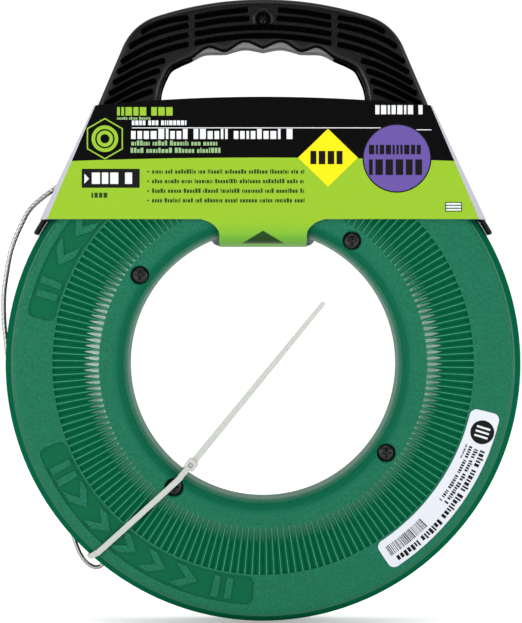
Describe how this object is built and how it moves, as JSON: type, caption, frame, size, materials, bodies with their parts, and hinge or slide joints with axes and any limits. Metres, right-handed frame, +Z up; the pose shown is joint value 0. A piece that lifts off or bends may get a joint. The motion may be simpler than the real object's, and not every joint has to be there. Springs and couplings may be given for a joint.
{
  "type": "fish tape reel",
  "caption": "Ring-shaped reel case that spins in a carrying grip and winds a flat steel wire-pulling tape, with stranded leader and eye, in its card display sleeve and cable tie.",
  "frame": {"origin": "middle of the grip's underside, where a hand or a hook carries the reel", "axes": "+Z up towards the top of the grip, +Y to the rear along the reel's axis (the front faces -Y), +X to the right seen from the front"},
  "size_m": [0.3241, 0.0678, 0.3868],
  "materials": {
    "case_green": "satin moulded",
    "grip_black": "satin moulded",
    "grip_grey": "matt soft grip",
    "screw_black": "black oxide",
    "spring_steel": "bright",
    "guide_black": "smooth low-friction",
    "label_white": "printed film",
    "sleeve_green": "printed coated card",
    "tie_white": "natural nylon"
  },
  "bodies": {
    "handle": {"handle_front": "grip_black", "handle_rear": "grip_black", "grip_insert": "grip_grey", "handle_screw_top": "screw_black", "handle_screw_left": "screw_black", "handle_screw_right": "screw_black", "tape_guide": "guide_black", "rim_guide": "guide_black", "exit_eyelet": "spring_steel", "tape_lead": "spring_steel", "leader_ferrule": "spring_steel", "leader_cable": "spring_steel", "eye_ferrule": "spring_steel", "leader_eye": "spring_steel", "card_sleeve": "sleeve_green", "cable_tie": "tie_white"},
    "reel": {"front_shell": "case_green", "rear_shell": "case_green", "case_screw_1": "screw_black", "case_screw_2": "screw_black", "case_screw_3": "screw_black", "case_screw_4": "screw_black", "tape_coil": "spring_steel", "tape_anchor": "spring_steel", "anchor_screw": "screw_black", "case_label": "label_white"}
  },
  "joints": [
    {"name": "reel_spin", "type": "hinge", "parent": "handle", "child": "reel", "pos_m": [0, 0, -0.1944], "axis": [0, 1, 0], "continuous": true}
  ]
}
